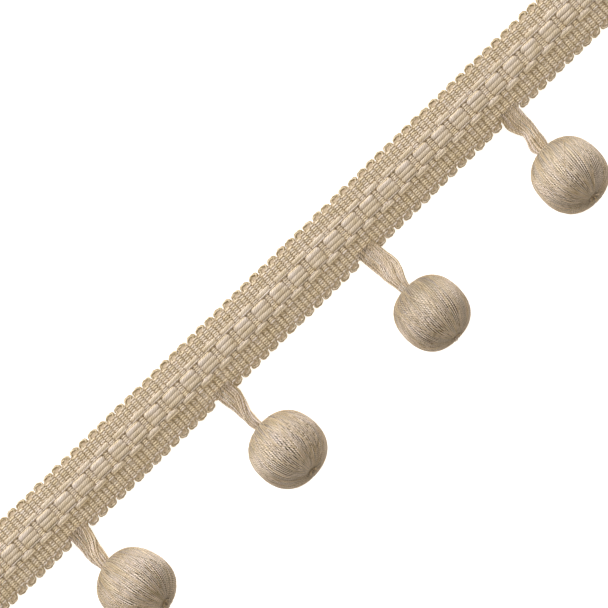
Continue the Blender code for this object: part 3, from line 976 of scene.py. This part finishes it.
def loose_threads(rng, number, count):
    """Single threads that lie over the others of a bead and cross them at a small angle.

    Their painted shade follows the first bell along the bead, so they darken towards the braid with the skin."""
    angle = np.linspace(LOOSE_END, math.pi - LOOSE_END, 34)[None]
    start = rng.uniform(0, math.tau, (count, 1))
    slant = rng.normal(0, LOOSE_SLANT, (count, 1))
    around = start + slant * np.cos(angle) + 0.02 * np.sin(3 * angle + start)
    path = bead_points(number, LOOSE_LIFT, angle, around)
    out = unit(path - np.array(bead_middle(number)))
    side = np.cross(out, unit(np.gradient(path, axis=1)))
    turns = round_turn(4) + math.pi / 2
    slim = np.sin(angle)[..., None] ** 0.7
    across, raised = slim * LOOSE_HALF_WIDTH * np.cos(turns), slim * LOOSE_HALF_HEIGHT * np.sin(turns)
    rings = rings_at(path, side, out, across, raised)
    rings[..., 2] = np.maximum(rings[..., 2], 0.0)
    along = angle * BEADS[number]["diameter"] / 2
    # Painted shade towards the braid.
    shade_depth = bell(along, PAINTED_LIGHT_BELLS[0][1], 8) * np.ones((count, 1))
    return rings, lengths_along(path), rng.uniform(0.0, 0.6, count), shade_depth


def thread_ends(rng, number, count):
    """Cut ends in the dimple of a bead's lower pole: short curls from its middle up its wall."""
    share = np.linspace(0, 1, 12)[None]
    start = (np.arange(count)[:, None] + rng.uniform(-0.3, 0.3, (count, 1))) * math.tau / count
    spread = np.radians(rng.uniform(6, 9.5, (count, 1)))
    angle = math.pi - (np.radians(0.8) + spread * np.sin(share * math.radians(110)))
    around = start + rng.uniform(0.5, 1.2, (count, 1)) * share
    path = bead_points(number, 0.25 + 0.35 * np.sin(share * math.pi * 0.8), angle, around)
    half = LOOSE_HALF_WIDTH * (1 - 0.5 * share)
    # Painted shade, most at the middle of the hole.
    return rings_round(path, half, half, 6), lengths_along(path), rng.uniform(0, 1, count), 0.4 * (1 - share)


def make_bead(number, skin_look, thread_look):
    """One bead: its wound skin, and the loose threads and thread ends on it."""
    rng = np.random.default_rng(SEED + 20 + number)
    rings, along, shade_depth = winding(rng, number, bpy.context.scene.fringe_drops.threads)
    tone = np.array([0.1 + 0.23 * number])
    skin = put_tubes(f"wound_bead_{number + 1}", [(rings, along, tone, shade_depth)], skin_look)
    bundles = [loose_threads(rng, number, LOOSE_THREADS), thread_ends(rng, number, THREAD_ENDS)]
    return skin, put_tubes(f"bead_threads_{number + 1}", bundles, thread_look)


def skein_run(number, places):
    """The middle of a skein in mm, at places from 0 at the braid's edge to 1 in its bead.

    A cubic curve that leaves the braid level and enters the bead along the bead's axis. It goes a
    little way on at both ends, into the braid and into the bead."""
    row = BEADS[number]
    to_root = bead_turning(row) @ Vector((0, 1, 0))
    pole = row["diameter"] / 2 * row["polar"]
    seat = bead_middle(number) + to_root * (pole - SKEIN_SEAT_DEPTH)
    root = Vector((root_middle(number), SKEIN_ROOT_Y, SKEIN_ROOT_HEIGHT))
    pull = (seat - root).length * SKEIN_PULL
    points = np.array((root, root + Vector((0, -pull, 0)), seat + to_root * pull, seat))
    rest = 1 - places
    weights = np.stack((rest**3, 3 * rest**2 * places, 3 * rest * places**2, places**3), axis=-1)
    return weights @ points


def skein_bundle(rng, number, group, yarn, samples, sides, stray=1.0):
    """One flat group of yarns of a skein. stray tells how much they wander sideways.

    The yarns share the group's part of the skein's width evenly. Where that is less than they need, they are
    slimmer, every other one rises and the rest sink. Painted shade darkens the sunk ones, the low groups,
    each yarn's underside and each yarn by a random amount, and fades towards the braid."""
    places = np.linspace(SKEIN_BEFORE, SKEIN_BEYOND, samples)
    run = skein_run(number, places)
    count, tone = group[:2]
    left, right = (through(edge, EDGE_STATIONS, places) for edge in SKEINS[number][:2])
    low, high, lift = (through(values, GROUP_STATIONS, places) for values in group[2:])
    room = right - left - yarn
    own = (np.arange(count)[:, None] + stray * rng.uniform(-0.2, 0.2, (count, 1))) / (count - 1)
    share = np.clip(low + (high - low) * own, 0, 1)
    body = eased((places - SKEIN_BEFORE) * 5)
    x = root_middle(number) + left + yarn / 2 + room * share
    x = x + stray * YARN_WANDER * drift(rng, count, places, 0.2) * body
    spacing = room * (high - low) / (count - 1)
    squeeze = np.clip(yarn * 0.92 - spacing, 0, yarn)
    slim = np.clip(1.25 * spacing / yarn, 0.5, 1.0)
    layer = np.where(np.arange(count) % 2 == 0, 0.45, -0.45)[:, None]
    bob = YARN_BOB * drift(rng, count, places, 0.18) * body
    rise = (lift * 0.65 + layer * squeeze) * body + bob
    y = np.broadcast_to(run[:, 1], x.shape)
    path = np.stack((x, y, np.maximum(run[:, 2] + rise, yarn / 2)), axis=-1)
    along = lengths_along(path)
    own_turn = SKEIN_PLY_TURN * rng.uniform(0.75, 1.3, (count, 1))
    turn = math.tau * (along / own_turn + rng.uniform(0, 1, (count, 1)))
    rings = rings_round(path, yarn / 2 * slim, yarn / 2 * 0.94, sides, lobe=0.40, turn=turn)
    tones = np.clip(tone + rng.uniform(-0.4, 0.4, count), 0, 1)
    # Painted shade: a random amount for each yarn, more for low groups, sunk yarns and a yarn's underside.
    under_top = rings[..., 2].max(axis=2, keepdims=True) - rings[..., 2]
    sunk_shade = (rng.uniform(0.2, 0.6, (count, 1)) - 0.5 * lift) * eased((places - SKEIN_BEFORE) * 1.8)
    sunk_shade = sunk_shade - 1.2 * layer * np.clip(4 * squeeze / yarn, 0, 1)
    return rings, along, tones, np.clip(sunk_shade[..., None] + 1.5 * under_top / yarn, 0, 1)


def make_skein(number, material):
    """One skein of two-ply yarns, from inside the braid's edge into its bead."""
    rng = np.random.default_rng(SEED + 10 + number)
    yarn = bpy.context.scene.fringe_drops.yarn_width / MM
    fat = yarn * UNDER_YARN_SIZE
    bundles = [skein_bundle(rng, number, UNDER_GROUP, fat, UNDER_SAMPLES, 6, stray=0.2)]
    for group in SKEINS[number][2:]:
        bundles.append(skein_bundle(rng, number, group, yarn, SKEIN_SAMPLES, 8))
    return put_tubes(f"skein_{number + 1}", bundles, material)


# The stage


def make_floor(colour, glow):
    """A wide plain white table, lit from behind a little, level with what the fringe lies on."""
    reach = 4.0
    mesh = bpy.data.meshes.new("floor")
    corners = [(-reach, -reach, 0), (reach, -reach, 0), (reach, reach, 0), (-reach, reach, 0)]
    mesh.from_pydata(corners, [], [(0, 1, 2, 3)])
    n = Nodes("floor_paint")
    grain = n.noise(n.place(), 3.0, 1.0)
    tint = n.mix(grain, shaded(colour, 0.985), shaded(colour, 1.0))
    n.put(n.shader.inputs["Emission Color"], GLOW_COLOUR)
    n.put(n.shader.inputs["Emission Strength"], glow)
    mesh.materials.append(n.finish(tint, grain, 0.001 * MM, 0.9, 0.0))
    floor = show("floor", mesh)


def make_light(name, power, azimuth, elevation, size, colour=(1.0, 1.0, 1.0)):
    """A square soft box that faces the middle of the fringe, from an azimuth and elevation in degrees."""
    light = bpy.data.lights.new(name, "AREA")
    light.energy, light.color, light.size = power, colour, size
    turn, rise = math.radians(azimuth), math.radians(elevation)
    across = LIGHT_REACH * math.cos(rise)
    lamp = show(name, light)
    lamp.location = (across * math.cos(turn), across * math.sin(turn), LIGHT_REACH * math.sin(rise))
    lamp.rotation_euler = (-lamp.location).to_track_quat("-Z", "Y").to_euler()


def make_camera():
    """A long lens straight above, turned so that the braid climbs to the right."""
    camera = bpy.data.cameras.new("camera")
    camera.lens = camera.sensor_width * CAMERA_HEIGHT / VIEW_WIDTH
    camera.clip_start, camera.clip_end = 0.1, 20.0
    holder = show("camera", camera)
    holder.location = (VIEW_MIDDLE[0] * MM, VIEW_MIDDLE[1] * MM, CAMERA_HEIGHT * MM)
    holder.rotation_euler = (0, 0, -VIEW_TURN)
    bpy.context.scene.camera = holder


class FRINGE_OT_stage(bpy.types.Operator):
    """Makes the floor, the lights and the camera"""

    bl_idname = "fringe.stage"
    bl_label = "Stage"

    def execute(self, context):
        look = context.scene.fringe_stage
        make_camera()
        make_floor(tuple(look.floor_colour), look.table_glow)
        make_light("key", look.key_power, azimuth=92, elevation=15, size=0.45, colour=look.key_colour)
        make_light("left", look.side_power, azimuth=172, elevation=26, size=0.7)
        make_light("right", look.side_power * 0.9, azimuth=8, elevation=26, size=0.7)
        world = bpy.data.worlds.new("room")
        world.use_nodes = True
        sky = world.node_tree.nodes["Background"]
        sky.inputs["Color"].default_value = (*look.sky_colour, 1.0)
        sky.inputs["Strength"].default_value = look.sky_strength
        context.scene.world = world
        context.scene.view_settings.view_transform = "Standard"
        return {"FINISHED"}


class FRINGE_OT_braid(bpy.types.Operator):
    """Makes the braid: its weft cord, warps, floats, binding warps and the cloth inside it, whose colour is
    painted shade in the loops' eyes
    """

    bl_idname = "fringe.braid"
    bl_label = "Braid"

    def execute(self, context):
        colour = tuple(context.scene.fringe_braid.colour)
        cord_look = yarn_material("weft_cord", colour)
        warp_look = yarn_material("fine_warp", colour)
        float_look = yarn_material("soft_float", colour)
        thin_look = yarn_material("thin_float", colour)
        yarns = [
            make_weft(cord_look),
            make_warps("braid_warps_upper", UPPER_WARPS, warp_look),
            make_warps("braid_warps_lower", LOWER_WARPS, warp_look),
            make_floats("braid_floats", FLOATS, float_look, sides=12, square=0.62),
            make_floats("braid_thin_floats", THIN_FLOATS, thin_look, sides=8, square=1.0),
            make_binders(warp_look),
        ]
        ground = make_ground(ground_material(colour))
        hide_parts("braid")
        return {"FINISHED"}


class FRINGE_OT_skeins(bpy.types.Operator):
    """Makes the four skeins that hold the beads"""

    bl_idname = "fringe.skeins"
    bl_label = "Skeins"

    def execute(self, context):
        colour = tuple(context.scene.fringe_drops.yarn_colour)
        look = yarn_material("skein_yarn", colour)
        for number in range(DROPS):
            piece = make_skein(number, look)
            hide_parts(f"hanger_{number + 1}")
        return {"FINISHED"}


class FRINGE_OT_beads(bpy.types.Operator):
    """Makes the four thread-wound beads"""

    bl_idname = "fringe.beads"
    bl_label = "Beads"

    def execute(self, context):
        drops = context.scene.fringe_drops
        colour = tuple(drops.thread_colour)
        skin_look = thread_material("wound_thread", colour, drops.threads)
        thread_look = yarn_material("loose_thread", colour)
        for number in range(DROPS):
            skin, threads = make_bead(number, skin_look, thread_look)
            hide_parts(f"bead_{number + 1}")
        return {"FINISHED"}


class FRINGE_PT_panel(bpy.types.Panel):
    """The fringe's sizes, colours and pieces"""

    bl_label = "Beaded fringe"
    bl_space_type = "VIEW_3D"
    bl_region_type = "UI"
    bl_category = "Fringe"

    def draw(self, context):
        for group in (context.scene.fringe_braid, context.scene.fringe_drops, context.scene.fringe_stage):
            for key in group.bl_rna.properties.keys():
                if key not in ("rna_type", "name"):
                    self.layout.prop(group, key)
        for operator in OPERATORS:
            self.layout.operator(operator.bl_idname)


GROUPS = {
    "fringe_braid": FringeBraid,
    "fringe_drops": FringeDrops,
    "fringe_stage": FringeStage,
}
OPERATORS = (FRINGE_OT_stage, FRINGE_OT_braid, FRINGE_OT_skeins, FRINGE_OT_beads)


def register():
    for name, group in GROUPS.items():
        bpy.utils.register_class(group)
        setattr(bpy.types.Scene, name, bpy.props.PointerProperty(type=group))
    for kind in (*OPERATORS, FRINGE_PT_panel):
        bpy.utils.register_class(kind)


def unregister():
    for kind in (FRINGE_PT_panel, *reversed(OPERATORS)):
        bpy.utils.unregister_class(kind)
    for name, group in GROUPS.items():
        delattr(bpy.types.Scene, name)
        bpy.utils.unregister_class(group)


def main():
    register()
    bpy.ops.fringe.stage()
    bpy.ops.fringe.braid()
    bpy.ops.fringe.skeins()
    bpy.ops.fringe.beads()


if __name__ == "__main__":
    main()
